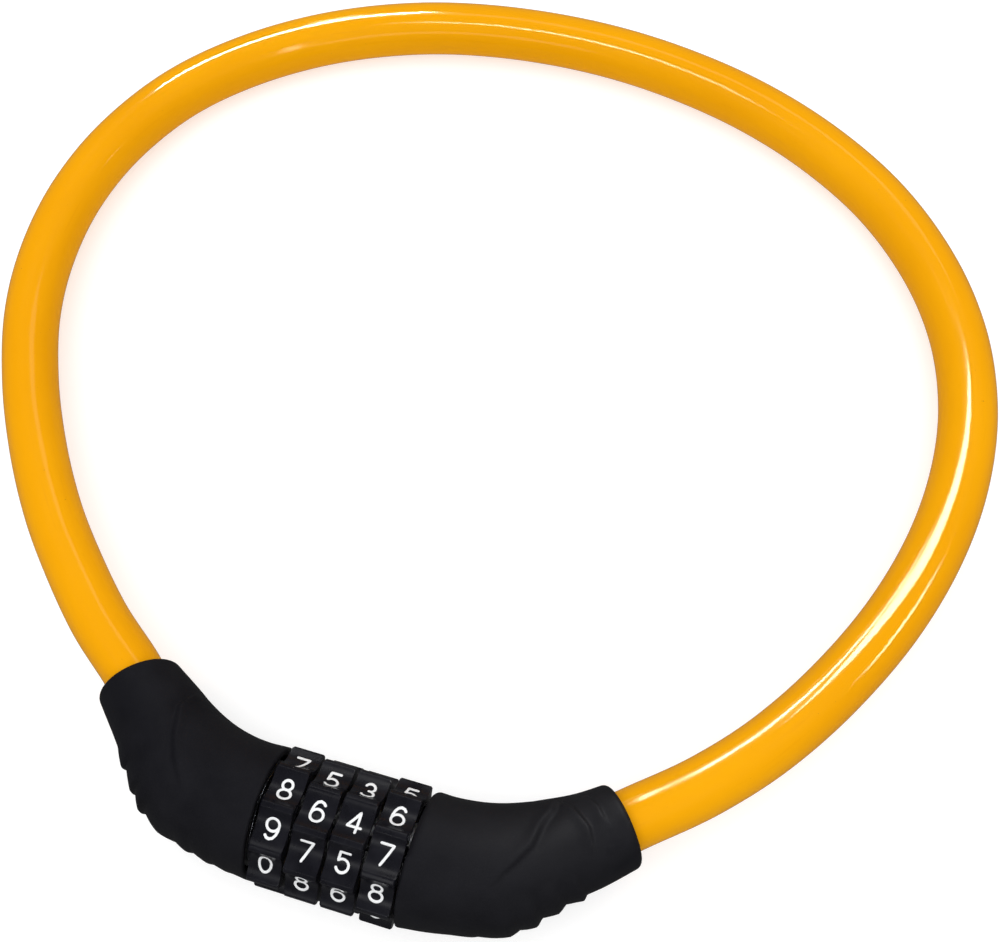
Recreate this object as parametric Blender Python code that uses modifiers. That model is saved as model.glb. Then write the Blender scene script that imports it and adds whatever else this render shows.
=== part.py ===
"""Combination cable lock: a plastic-covered steel cable whose two ends meet in a four-wheel lock head.

The lock lies flat on a table. World +X runs along the wheels' axis from the fixed half (body) to the
half that pulls off (plug), +Y points from the lock head across the cable's loop, and +Z is up.
The origin is on the table, under the middle of the lock head.

Inside the head everything hangs on the empty "wheel_axis": its local Z is the wheels' axis (world X),
its local X points into the loop (world Y) and its local Y points up (world Z).
"""

from math import cos, pi, radians, sin, sqrt

import bmesh
import bpy
from mathutils import Matrix, Vector

MM = 0.001
GAP = 0.3 * MM  # clearance between pieces that touch on the real lock
PAST = 1 * MM  # how far a cutter runs on past what it cuts

# Lock head as a whole
AXIS_HEIGHT = 13.9 * MM  # wheels' axis above the table
HEAD_CENTRE_X = 0.55 * MM  # middle of the head's length, measured from the middle of the wheels
HEAD_CENTRE_Y = 4.5 * MM  # middle of the head's depth, measured from the wheels' axis

# Number wheels
WHEELS = 4
POSITIONS = 10
WHEEL_PITCH = 7.3 * MM
WHEEL_WIDTH = 6.5 * MM
RIDGE_R = 13.8 * MM
FLUTE_R = 11.9 * MM
RIDGE_WIDTH = 1.2 * MM
RIM_CHAMFER = 0.25 * MM
WHEEL_BORE_R = 10.0 * MM
SPLINE_DEPTH = 0.8 * MM
SPLINE_WIDTH = 1.9 * MM
WHEEL_TURNS = (12.0, 22.5, 22.0, 5.0)  # degrees past the top at which each wheel was left

# Clutch rings, keyed in the wheels
RING_THICKNESS = 3.2 * MM
RING_BORE_R = 6.8 * MM
NOTCH_R = 8.2 * MM
NOTCH_WIDTH = 3.4 * MM

# Barrel
BARREL_R = 6.5 * MM
BARREL_BORE_R = 3.0 * MM
BARREL_REAR = -24.0 * MM
BARREL_NOSE = 19.3 * MM
SLOT_WIDTH = 2.8 * MM
FLANGE_R = 10.4 * MM
FLANGE_THICKNESS = 1.0 * MM
FLANGE_FRONT = -16.1 * MM
NOSE_CHAMFER = 0.5 * MM
CLIP_GROOVE_R = 5.9 * MM

# What loads the wheels and holds them on the barrel, and the reset collar
THRUST_BORE_R = 8.2 * MM  # clears the pin's last tooth
THRUST_R = 9.7 * MM
SPRING_LOW, SPRING_HIGH = -15.75 * MM, -15.3 * MM
SPRING_WAVES = 3
SPRING_RISE = 0.12 * MM
WASHER_LOW, WASHER_HIGH = -15.0 * MM, -14.5 * MM
CLIP_LOW, CLIP_HIGH = 14.6 * MM, 15.3 * MM
CLIP_R = 8.6 * MM
CLIP_PLAY = 0.1 * MM  # the groove is wider than the ring by this much at each side
CLIP_OPENING = radians(34)
COLLAR_LOW, COLLAR_HIGH = 15.9 * MM, 18.9 * MM
COLLAR_R = 9.2 * MM
SERRATIONS = 15
SERRATION_DEPTH = 0.5 * MM

# Locking pin
PIN_R = 2.5 * MM
TOOTH_TIP_R = 7.8 * MM
TOOTH_WIDTH = 2.2 * MM
TOOTH_LENGTH = 2.2 * MM
PIN_TIP = -17.6 * MM
PIN_REAR = 30.0 * MM
PIN_HEAD_R = 3.6 * MM
PIN_HEAD_LOW, PIN_HEAD_HIGH = 21.9 * MM, 23.4 * MM
PIN_POINT = 1.0 * MM
PLUG_WASHER_R = 10.6 * MM
PLUG_WASHER_LOW, PLUG_WASHER_HIGH = 20.4 * MM, 21.2 * MM

# Cross pins, through the barrel, the locking pin and the cable's ferrules
CROSS_PIN_R = 0.9 * MM
CROSS_PIN_LENGTH = 15.0 * MM
CROSS_SEAT_HALF = 12.0 * MM  # half the length of a cross pin's hole in a core
BARREL_PIN_ALONG = -21.0 * MM
LOCK_PIN_ALONG = 27.0 * MM

# Detents
BALL_R = 1.0 * MM
BALL_OUT = 5.7 * MM  # the ball's centre, from the wheels' axis
POCKET_R = 1.25 * MM
POCKET_FLOOR = 3.5 * MM
COIL_TURNS = 2
COIL_R = 0.85 * MM
COIL_WIRE_R = 0.15 * MM
COIL_SIDES = 6
COIL_SHARP = radians(80)  # its wire has so few sides that only its ends' edges are sharp

# Covers, their cores and the elbow that they follow
BODY_FACE = 15.0 * MM
PLUG_FACE = 14.9 * MM
ELBOW_LEAD = 2.5 * MM
ELBOW_R = 36.0 * MM
BODY_TURN = radians(43.5)
PLUG_TURN = radians(39.7)
BODY_TAIL = 10.6 * MM
PLUG_TAIL = 14.4 * MM
SHOULDER_R = 13.2 * MM
SHOULDER_LENGTH = 7.0 * MM
MOUTH_R = 8.4 * MM
COVER_WALL = 1.8 * MM
COVER_TALLNESS = 1.075  # the covers are a little taller than they are deep
MOUTH_GRIP = 9.2 * MM  # how deep the cable's jacket sits in a cover
MOUTH_EDGE = 0.8 * MM
FIRST_SECTION = 4.0 * MM  # where the covers' own sections start
LAST_SECTION = 3.5 * MM  # and how far before the mouth they end
BODY_EDGE = 0.4 * MM  # chamfers at the wheels' ends of the covers
PLUG_EDGE = 1.1 * MM
BODY_CORE_FACE = 17.4 * MM
PLUG_CORE_FACE = 21.6 * MM
SEAT_START = 10.0 * MM  # cutters for what a core holds reach to here from the wheels' middle

# Cable
JACKET_R = 6.0 * MM
JACKET_BORE_R = 3.3 * MM
STRAND_R = 3.0 * MM
STRAND_TAIL = 12.5 * MM  # bare strand past the jacket, inside a ferrule
FERRULE_R = 4.4 * MM
FERRULE_LENGTH = 13.0 * MM
CABLE_POINTS = 64
CABLE_SHARP = radians(50)  # its facets are wider than the smaller rounds'
STRAIGHT_INSIDE = 4.0 * MM  # the cable runs straight from here inside a mouth
STRAIGHT_OUTSIDE = 3.0 * MM  # to here outside it

# The cable's own line from the body's mouth round the loop to the plug's mouth: X and Y from the
# wheels' middle, and the height of its centre over the table, all in millimetres.
CABLE_ROUTE = [
    (-62.5, 27, 13.6),
    (-72.5, 36.5, 13.2),
    (-81.5, 46.5, 12.7),
    (-90.5, 59, 12.1),
    (-98.5, 73, 11.4),
    (-105, 89, 10.5),
    (-108, 105, 9.6),
    (-107.5, 121, 8.8),
    (-103, 137.5, 7.9),
    (-94, 153.5, 7.1),
    (-80.5, 166.7, 6.6),
    (-63.5, 177.5, 6.3),
    (-44.5, 184.8, 6.2),
    (-24.5, 188.8, 6.2),
    (-4, 189.9, 6.2),
    (16.5, 188.2, 6.2),
    (36.5, 183.7, 6.2),
    (55.5, 176, 6.3),
    (72, 165.5, 6.6),
    (85.5, 151.5, 7.2),
    (94.5, 136.5, 7.9),
    (99.3, 120, 8.8),
    (100.3, 103.5, 9.7),
    (98, 87, 10.6),
    (92.5, 70, 11.5),
    (84.5, 54, 12.3),
    (75, 40, 13.0),
    (64.5, 28.5, 13.5),
]

TURN_STEPS = 36
SMALL_STEPS = 24


def clear_scene():
    for obj in list(bpy.data.objects):
        bpy.data.objects.remove(obj, do_unlink=True)


def collection(name):
    made = bpy.data.collections.new(name)
    bpy.context.scene.collection.children.link(made)
    return made


def material(name, colour, roughness, metallic=0.0):
    made = bpy.data.materials.new(name)
    made.use_nodes = True
    shader = made.node_tree.nodes["Principled BSDF"]
    shader.inputs["Base Color"].default_value = (*colour, 1.0)
    shader.inputs["Roughness"].default_value = roughness
    shader.inputs["Metallic"].default_value = metallic
    return made


clear_scene()
PARTS = collection("cable_lock")
CUTTERS = collection("cutters")

RUBBER = material("cover_rubber", (0.016, 0.016, 0.019), 0.75)
CORE_PLASTIC = material("core_plastic", (0.03, 0.03, 0.033), 0.5)
WHEEL_PLASTIC = material("wheel_plastic", (0.012, 0.012, 0.015), 0.22)
JACKET_PVC = material("jacket_pvc", (0.93, 0.38, 0.01), 0.18)
STEEL = material("steel", (0.62, 0.62, 0.64), 0.3, 1.0)
STRAND_STEEL = material("strand_steel", (0.45, 0.45, 0.47), 0.45, 1.0)
BRASS = material("brass", (0.72, 0.5, 0.2), 0.35, 1.0)
ZINC = material("die_cast_zinc", (0.5, 0.5, 0.52), 0.45, 1.0)
SPRING_STEEL = material("spring_steel", (0.55, 0.56, 0.6), 0.25, 1.0)

WHEEL_AXIS = bpy.data.objects.new("wheel_axis", None)
PARTS.objects.link(WHEEL_AXIS)
WHEEL_AXIS.location = (-HEAD_CENTRE_X, -HEAD_CENTRE_Y, AXIS_HEIGHT)
WHEEL_AXIS.rotation_euler = (pi / 2, 0, pi / 2)


def place(obj, along=0.0, turn=0.0):
    """Hangs an object on the wheels' axis, this far along it and turned about it."""
    obj.parent = WHEEL_AXIS
    obj.location = (0, 0, along)
    obj.rotation_euler = (0, 0, turn)
    return obj


def object_from(name, data, finish):
    obj = bpy.data.objects.new(name, data)
    if finish is None:
        CUTTERS.objects.link(obj)
        obj.hide_render = True
        obj.display_type = "WIRE"
    else:
        PARTS.objects.link(obj)
        data.materials.append(finish)
    return obj


def smooth(mesh, angle=radians(35)):
    mesh.shade_smooth()
    mesh.set_sharp_from_angle(angle=angle)


def turned(name, profile, finish, steps=TURN_STEPS):
    """A closed profile of (radius, along) turned about the axis. Its outer side runs back to front."""
    mesh = bpy.data.meshes.new(name)
    points = [(radius, 0, along) for radius, along in profile]
    edges = [(i, (i + 1) % len(points)) for i in range(len(points))]
    mesh.from_pydata(points, edges, [])
    obj = object_from(name, mesh, finish)
    screw = obj.modifiers.new("turn", "SCREW")
    screw.steps = screw.render_steps = steps
    screw.use_merge_vertices = True
    screw.merge_threshold = 0.000001
    return obj


def ring(name, inner, outer, low, high, finish, steps=TURN_STEPS):
    return turned(name, [(outer, high), (outer, low), (inner, low), (inner, high)], finish, steps)


def rod(name, radius, low, high, finish, steps=SMALL_STEPS):
    """A solid cylinder along the local Z."""
    mesh = bpy.data.meshes.new(name)
    shape = bmesh.new()
    bmesh.ops.create_cone(
        shape, cap_ends=True, segments=steps, radius1=radius, radius2=radius, depth=high - low
    )
    bmesh.ops.translate(shape, verts=shape.verts, vec=(0, 0, (high + low) / 2))
    shape.to_mesh(mesh)
    shape.free()
    smooth(mesh)
    return object_from(name, mesh, finish)


def box(name, low, high, finish):
    mesh = bpy.data.meshes.new(name)
    shape = bmesh.new()
    bmesh.ops.create_cube(shape, size=1)
    size = Vector(high) - Vector(low)
    bmesh.ops.scale(shape, verts=shape.verts, vec=size)
    bmesh.ops.translate(shape, verts=shape.verts, vec=(Vector(low) + Vector(high)) / 2)
    shape.to_mesh(mesh)
    shape.free()
    return object_from(name, mesh, finish)


def outline(name, loops, low, high, finish):
    """A flat outline with holes, extruded along the local Z from low to high, as a mesh."""
    curve = bpy.data.curves.new(name, "CURVE")
    curve.dimensions = "2D"
    curve.fill_mode = "BOTH"
    curve.extrude = (high - low) / 2
    for loop in loops:
        spline = curve.splines.new("POLY")
        spline.points.add(len(loop) - 1)
        for point, (x, y) in zip(spline.points, loop):
            point.co = (x, y, 0, 1)
        spline.use_cyclic_u = True
    obj = mesh_from(bpy.data.objects.new(name, curve), name, finish)
    obj.data.transform(Matrix.Translation((0, 0, (high + low) / 2)))
    return obj


def tube(name, points, radii, sides, finish):
    """A round tube with a radius at each of its points, as a mesh."""
    curve = bpy.data.curves.new(name, "CURVE")
    curve.dimensions = "3D"
    curve.bevel_depth = 1.0
    curve.bevel_resolution = (sides - 4) // 2
    curve.use_fill_caps = True
    spline = curve.splines.new("POLY")
    spline.points.add(len(points) - 1)
    for knot, point, radius in zip(spline.points, points, radii):
        knot.co = (*point, 1)
        knot.radius = radius
    return mesh_from(bpy.data.objects.new(name, curve), name, finish)


def mesh_from(curve_object, name, finish):
    """The curve's solid as a mesh object with its caps welded on. The curve is removed."""
    bpy.context.scene.collection.objects.link(curve_object)
    graph = bpy.context.evaluated_depsgraph_get()
    mesh = bpy.data.meshes.new_from_object(curve_object.evaluated_get(graph))
    mesh.materials.clear()
    shape = bmesh.new()
    shape.from_mesh(mesh)
    bmesh.ops.remove_doubles(shape, verts=shape.verts, dist=0.00001 * MM)
    bmesh.ops.recalc_face_normals(shape, faces=shape.faces)
    shape.to_mesh(mesh)
    shape.free()
    bpy.data.objects.remove(curve_object)
    mesh.name = name
    return object_from(name, mesh, finish)


def cut(obj, cutter, operation="DIFFERENCE"):
    modifier = obj.modifiers.new(cutter.name, "BOOLEAN")
    modifier.operation = operation
    modifier.object = cutter
    modifier.solver = "EXACT"


def spread(low, high, count):
    """Evenly spread values, both ends included."""
    return [low + (high - low) * i / (count - 1) for i in range(count)]


def arc(radius, start, end, count):
    """Points on an arc about the axis, both ends included."""
    return [(radius * cos(a), radius * sin(a)) for a in spread(start, end, count)]


def turned_by(angle, x, y):
    return (x * cos(angle) - y * sin(angle), x * sin(angle) + y * cos(angle))


def wheel_middle(index):
    return (index - (WHEELS - 1) / 2) * WHEEL_PITCH


# ---- number wheels and clutch rings ----


def fluted_outline():
    """Ten hollow flutes with narrow flat ridges between them. Position 0's flute is at the top."""
    step = 2 * pi / POSITIONS
    ridge_half = RIDGE_WIDTH / 2 / RIDGE_R
    edge = Vector((cos(step / 2 - ridge_half), sin(step / 2 - ridge_half))) * RIDGE_R
    hollow = edge.x - FLUTE_R
    flute_radius = (edge.y**2 + hollow**2) / (2 * hollow)
    centre = FLUTE_R + flute_radius
    points = []
    for index in range(POSITIONS):
        middle = pi / 2 + index * step
        for part in spread(-1, 1, 6):
            across = edge.y * part
            depth = centre - sqrt(flute_radius**2 - across**2)
            points.append(turned_by(middle, depth, across))
    return points


def splined_bore(radius, depth, width):
    """A round bore with one keyway for each of the wheel's positions."""
    step = 2 * pi / POSITIONS
    points = []
    for index in range(POSITIONS):
        middle = pi / 2 + index * step
        half_low = width / 2 / radius
        half_high = width / 2 / (radius + depth)
        points += arc(radius + depth, middle - half_high, middle + half_high, 2)
        points += arc(radius, middle + half_low, middle + step - half_low, 4)
    return points


def notched_bore(radius, notch_radius, width):
    """A round bore with one notch at the top."""
    low = width / 2 / radius
    high = width / 2 / notch_radius
    return arc(notch_radius, pi / 2 - high, pi / 2 + high, 3) + arc(
        radius, pi / 2 + low, pi / 2 + 2 * pi - low, 25
    )


def lugged_rim(radius, lug_height, lug_width):
    """A round rim with a driving lug at the top and one at the bottom."""
    points = []
    for middle in (pi / 2, 3 * pi / 2):
        low = lug_width / 2 / radius
        high = lug_width / 2 / (radius + lug_height)
        points += arc(radius + lug_height, middle - high, middle + high, 2)
        points += arc(radius, middle + low, middle + pi - low, 15)
    return points


def number_wheel(index):
    name = f"dial_{index + 1}"
    half = WHEEL_WIDTH / 2
    inner = RIDGE_R - RIM_CHAMFER
    profile = [
        (inner, half),
        (RIDGE_R + GAP, half - RIM_CHAMFER - GAP),
        (RIDGE_R + GAP, -half + RIM_CHAMFER + GAP),
        (inner, -half),
        (WHEEL_BORE_R - PAST, -half),
        (WHEEL_BORE_R - PAST, half),
    ]
    wheel = turned(name, profile, WHEEL_PLASTIC, 60)
    loops = [fluted_outline(), splined_bore(WHEEL_BORE_R, SPLINE_DEPTH, SPLINE_WIDTH)]
    flutes = outline(f"{name}_flutes", loops, -half - GAP, half + GAP, None)
    where, turn = wheel_middle(index), radians(WHEEL_TURNS[index])
    place(wheel, where, turn)
    place(flutes, where, turn)
    cut(wheel, flutes, "INTERSECT")


def clutch_ring(index):
    """The notch meets the barrel's slot on the opening number, whichever keyway the ring sits in."""
    turn = radians(WHEEL_TURNS[index])
    rim = lugged_rim(WHEEL_BORE_R - GAP, SPLINE_DEPTH - GAP, SPLINE_WIDTH - 2 * GAP)
    rim = [turned_by(turn, x, y) for x, y in rim]
    loops = [rim, notched_bore(RING_BORE_R, NOTCH_R, NOTCH_WIDTH)]
    half = RING_THICKNESS / 2
    made = outline(f"clutch_ring_{index + 1}", loops, -half, half, BRASS)
    place(made, wheel_middle(index))


# ---- barrel, what rides on it, and the reset collar ----


def barrel():
    flange_back = FLANGE_FRONT - FLANGE_THICKNESS
    groove_low, groove_high = CLIP_LOW - CLIP_PLAY, CLIP_HIGH + CLIP_PLAY
    profile = [
        (BARREL_R - NOSE_CHAMFER, BARREL_NOSE),
        (BARREL_R, BARREL_NOSE - NOSE_CHAMFER),
        (BARREL_R, groove_high),
        (CLIP_GROOVE_R, groove_high),
        (CLIP_GROOVE_R, groove_low),
        (BARREL_R, groove_low),
        (BARREL_R, FLANGE_FRONT),
        (FLANGE_R, FLANGE_FRONT),
        (FLANGE_R, flange_back),
        (BARREL_R, flange_back),
        (BARREL_R, BARREL_REAR),
        (BARREL_BORE_R, BARREL_REAR),
        (BARREL_BORE_R, BARREL_NOSE),
    ]
    made = place(turned("barrel", profile, ZINC))
    slot = box(
        "barrel_slot",
        (-SLOT_WIDTH / 2, 0, FLANGE_FRONT + GAP),
        (SLOT_WIDTH / 2, BARREL_R + PAST, BARREL_NOSE + PAST),
        None,
    )
    cut(made, place(slot))
    for index in range(WHEELS):
        cut(made, detent_pocket(index))
    cut(made, cross_hole("barrel_pin_hole", BARREL_PIN_ALONG, BARREL_R + PAST))


def facing_down(obj, along, out):
    """Turns an object's local Z down, at this distance below the wheels' axis."""
    obj.parent = WHEEL_AXIS
    obj.location = (0, -out, along)
    obj.rotation_euler = (pi / 2, 0, 0)
    return obj


def detent_pocket(index):
    depth = BARREL_R - POCKET_FLOOR
    pocket = rod(f"detent_pocket_{index + 1}", POCKET_R, 0, depth + PAST, None, 16)
    return facing_down(pocket, wheel_middle(index), POCKET_FLOOR)


def detent(index):
    """A ball on a small coil spring, in the underside of the barrel below its wheel."""
    along = wheel_middle(index)
    mesh = bpy.data.meshes.new(f"detent_ball_{index + 1}")
    shape = bmesh.new()
    bmesh.ops.create_uvsphere(shape, u_segments=12, v_segments=8, radius=BALL_R)
    shape.to_mesh(mesh)
    shape.free()
    smooth(mesh)
    ball = object_from(mesh.name, mesh, STEEL)
    facing_down(ball, along, BALL_OUT)
    room = BALL_OUT - BALL_R - POCKET_FLOOR
    per_turn = 10
    count = COIL_TURNS * per_turn + 1
    points = []
    for step in range(count):
        angle = 2 * pi * step / per_turn
        rise = 1.2 * COIL_WIRE_R + (room - 2.5 * COIL_WIRE_R) * step / (count - 1)
        points.append((COIL_R * cos(angle), COIL_R * sin(angle), rise))
    wire = [COIL_WIRE_R] * count
    coil = tube(f"detent_spring_{index + 1}", points, wire, COIL_SIDES, SPRING_STEEL)
    smooth(coil.data, COIL_SHARP)
    facing_down(coil, along, POCKET_FLOOR)


def thrust_parts():
    """The washer and the wave spring that load the wheels from the body's side."""
    place(ring("dial_washer", THRUST_BORE_R, THRUST_R, WASHER_LOW, WASHER_HIGH, STEEL))
    low, high = SPRING_LOW + SPRING_RISE, SPRING_HIGH - SPRING_RISE
    wave = ring("dial_spring", THRUST_BORE_R, THRUST_R, low, high, None)
    graph = bpy.context.evaluated_depsgraph_get()
    mesh = bpy.data.meshes.new_from_object(wave.evaluated_get(graph))
    bpy.data.objects.remove(wave)
    for vertex in mesh.vertices:
        angle = Vector((1, 0)).angle_signed(vertex.co.xy)
        vertex.co.z += SPRING_RISE * cos(SPRING_WAVES * angle)
    place(object_from("dial_spring", mesh, SPRING_STEEL))


def retaining_ring():
    """An open snap ring, whose gap leaves the pin's teeth their way out."""
    start = pi / 2 + CLIP_OPENING / 2
    end = pi / 2 + 2 * pi - CLIP_OPENING / 2
    loop = arc(CLIP_R, start, end, 25)
    loop += arc(CLIP_GROOVE_R + 2 * CLIP_PLAY, end, start, 25)
    place(outline("retaining_ring", [loop], CLIP_LOW, CLIP_HIGH, SPRING_STEEL))


def reset_collar():
    """The collar with finger serrations that is turned a quarter to set a new number."""
    step = 2 * pi / SERRATIONS
    rim = []
    for index in range(SERRATIONS):
        angle = step * index
        rim += arc(COLLAR_R, angle, angle + 0.55 * step, 2)
        rim += arc(COLLAR_R - SERRATION_DEPTH, angle + 0.62 * step, angle + 0.93 * step, 2)
    loops = [rim, notched_bore(RING_BORE_R, NOTCH_R, NOTCH_WIDTH)]
    place(outline("reset_collar", loops, COLLAR_LOW, COLLAR_HIGH, ZINC))


# ---- locking pin ----


def locking_pin():
    profile = [
        (0, PIN_REAR),
        (PIN_R, PIN_REAR),
        (PIN_R, PIN_HEAD_HIGH),
        (PIN_HEAD_R, PIN_HEAD_HIGH),
        (PIN_HEAD_R, PIN_HEAD_LOW),
        (PIN_R, PIN_HEAD_LOW),
        (PIN_R, PIN_TIP + PIN_POINT),
        (PIN_R - PIN_POINT, PIN_TIP),
        (0, PIN_TIP),
    ]
    made = turned("locking_pin", profile, STEEL, SMALL_STEPS)
    place(made)
    tooth_end = -RING_THICKNESS / 2 - GAP
    for index in range(WHEELS):
        middle = wheel_middle(index)
        tooth = box(
            f"pin_tooth_{index + 1}",
            (-TOOTH_WIDTH / 2, 0, middle + tooth_end - TOOTH_LENGTH),
            (TOOTH_WIDTH / 2, TOOTH_TIP_R, middle + tooth_end),
            None,
        )
        cut(made, place(tooth), "UNION")
    cut(made, cross_hole("lock_pin_hole", LOCK_PIN_ALONG, PIN_R + PAST))


def plug_washer():
    bore = PIN_R + GAP
    place(ring("plug_washer", bore, PLUG_WASHER_R, PLUG_WASHER_LOW, PLUG_WASHER_HIGH, STEEL))


def cross_hole(name, along, reach):
    """A cutter for a cross pin's hole, straight up and down through the axis."""
    hole = rod(name, CROSS_PIN_R + GAP, -reach, reach, None, 12)
    return facing_down(hole, along, 0)


def cross_pin(name, along):
    half = CROSS_PIN_LENGTH / 2
    facing_down(rod(name, CROSS_PIN_R, -half, half, STEEL, 12), along, 0)


# ---- covers and cores ----


class Elbow:
    """The line that a cover follows from the wheels' end. side is 1 for the plug, -1 for the body."""

    def __init__(self, name, face, turn, tail, side):
        self.name = name
        self.face = face
        self.turn = turn
        self.side = side
        self.straight = ELBOW_LEAD + ELBOW_R * turn  # where the bend ends
        self.length = self.straight + tail
        self.grip = self.length - MOUTH_GRIP  # where the cable's jacket ends

    def point(self, distance):
        """A point in the wheel axis's own directions."""
        angle = min(max(distance - ELBOW_LEAD, 0), ELBOW_R * self.turn) / ELBOW_R
        past = max(distance - self.straight, 0)
        inward = ELBOW_R * (1 - cos(angle)) + past * sin(self.turn)
        along = self.face + min(distance, ELBOW_LEAD) + ELBOW_R * sin(angle) + past * cos(self.turn)
        return Vector((inward, 0, self.side * along))

    def cable_point(self, distance):
        """A point on the last straight stretch, or on its line run back into the bend."""
        direction = Vector((sin(self.turn), 0, self.side * cos(self.turn)))
        return self.point(self.straight) + direction * (distance - self.straight)

    def radius(self, distance):
        """Full at the wheels, then tapering smoothly to the cable's mouth."""
        share = (distance - SHOULDER_LENGTH) / (self.length - SHOULDER_LENGTH)
        share = min(max(share, 0), 1)
        return SHOULDER_R - (SHOULDER_R - MOUTH_R) * (1 - cos(pi * share)) / 2

    def lay(self, obj, distance):
        """Lays an object's local Z along the cable's last straight stretch, from this distance on."""
        obj.parent = WHEEL_AXIS
        obj.location = self.cable_point(distance)
        obj.rotation_euler = (0, self.turn if self.side > 0 else pi - self.turn, 0)
        return obj

    def stand(self, obj):
        """Stands an object through the middle of the ferrule."""
        self.lay(obj, self.grip - FERRULE_LENGTH / 2)
        obj.rotation_euler = (pi / 2, 0, 0)
        return obj


BODY = Elbow("body", BODY_FACE, BODY_TURN, BODY_TAIL, -1)
PLUG = Elbow("plug", PLUG_FACE, PLUG_TURN, PLUG_TAIL, 1)


def elbow_tube(name, points, radii, sides, finish):
    """A tube about the wheels' axis, taller than it is deep as the covers are."""
    made = tube(name, points, radii, sides, finish)
    made.data.transform(Matrix.Scale(COVER_TALLNESS, 4, (0, 1, 0)))
    return place(made)


def cover(elbow, edge):
    """A hollow rubber elbow, open at the wheels, with a snug mouth for the cable's jacket."""
    name = f"{elbow.name}_cover"
    stops = [0, edge] + spread(FIRST_SECTION, elbow.length - LAST_SECTION, 8)
    stops += [elbow.length - MOUTH_EDGE, elbow.length]
    radii = [elbow.radius(s) for s in stops]
    radii[0] -= edge
    radii[-1] -= MOUTH_EDGE
    shell = elbow_tube(name, [elbow.point(s) for s in stops], radii, 24, RUBBER)

    stops = [-2 * PAST] + spread(FIRST_SECTION, elbow.grip, 7)
    radii = [elbow.radius(s) - COVER_WALL for s in stops]
    points = [elbow.point(s) for s in stops]
    cut(shell, elbow_tube(f"{name}_cavity", points, radii, 20, None))

    mouth = rod(f"{name}_mouth", JACKET_R + GAP, -PAST, MOUTH_GRIP + PAST, None, 20)
    cut(shell, elbow.lay(mouth, elbow.grip))

    reach = 4 * SHOULDER_R
    low = (-reach, -AXIS_HEIGHT - reach, -2 * reach)
    table = box(f"{name}_table", low, (reach, -AXIS_HEIGHT, 2 * reach), None)
    cut(shell, place(table))
    smooth(shell.data)


def core(elbow, core_face, seats):
    """The hard plastic elbow in a cover. seats are the cutters of what it holds."""
    end = elbow.grip - GAP
    stops = [0] + spread(FIRST_SECTION, end - PAST, 7) + [end]
    radii = [elbow.radius(s) - COVER_WALL - 2 * GAP for s in stops]
    points = [elbow.point(s) for s in stops]
    made = elbow_tube(f"{elbow.name}_core", points, radii, 20, CORE_PLASTIC)
    smooth(made.data)
    reach = 2 * SHOULDER_R
    ends = sorted([elbow.side * SEAT_START, elbow.side * core_face])
    end_cut = box(f"{elbow.name}_core_end", (-reach, -reach, ends[0]), (reach, reach, ends[1]), None)
    for seat in [place(end_cut)] + seats:
        cut(made, seat)


def cable_seat(elbow):
    """Cutters in a core for the ferrule and for the cross pin that holds it."""
    low = -FERRULE_LENGTH - 2 * GAP
    bore = rod(f"{elbow.name}_ferrule_seat", FERRULE_R + GAP, low, PAST, None, 20)
    return [elbow.lay(bore, elbow.grip), ferrule_hole(elbow, "pin_seat", CROSS_SEAT_HALF)]


def ferrule_hole(elbow, use, half):
    hole = rod(f"{elbow.name}_ferrule_{use}", CROSS_PIN_R + GAP, -half, half, None, 12)
    return elbow.stand(hole)


def ferrule(elbow):
    """A crimped sleeve on the strand's end, held by a cross pin. Gives the cutter of the pin's hole."""
    name = f"{elbow.name}_ferrule"
    made = ring(name, STRAND_R + GAP, FERRULE_R, -FERRULE_LENGTH, 0, STEEL, SMALL_STEPS)
    elbow.lay(made, elbow.grip - GAP)
    hole = ferrule_hole(elbow, "hole", FERRULE_R + PAST)
    cut(made, hole)
    half = CROSS_PIN_LENGTH / 2
    elbow.stand(rod(f"{name}_pin", CROSS_PIN_R, -half, half, STEEL, 12))
    return hole


# ---- cable ----


def smooth_route(points, count):
    """Points evenly spread along a smooth curve through the route's own points."""
    padded = [points[0] * 2 - points[1]] + points + [points[-1] * 2 - points[-2]]
    fine = []
    for before, a, b, after in zip(padded, padded[1:], padded[2:], padded[3:]):
        for step in range(20):
            t = step / 20
            fine.append(
                (
                    2 * a
                    + (b - before) * t
                    + (2 * before - 5 * a + 4 * b - after) * t**2
                    + (3 * a - before - 3 * b + after) * t**3
                )
                / 2
            )
    fine.append(points[-1])
    lengths = [0.0]
    for a, b in zip(fine, fine[1:]):
        lengths.append(lengths[-1] + (b - a).length)
    spread, index = [], 0
    for step in range(count):
        target = lengths[-1] * step / (count - 1)
        while index < len(fine) - 2 and lengths[index + 1] < target:
            index += 1
        share = (target - lengths[index]) / (lengths[index + 1] - lengths[index])
        spread.append(fine[index].lerp(fine[index + 1], share))
    return spread


def cable_end(elbow, distance):
    """A point of the cable's straight end, from the wheels' middle at the axis's height."""
    inward, _, along = elbow.cable_point(distance)
    return Vector((along, inward, AXIS_HEIGHT))


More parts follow.
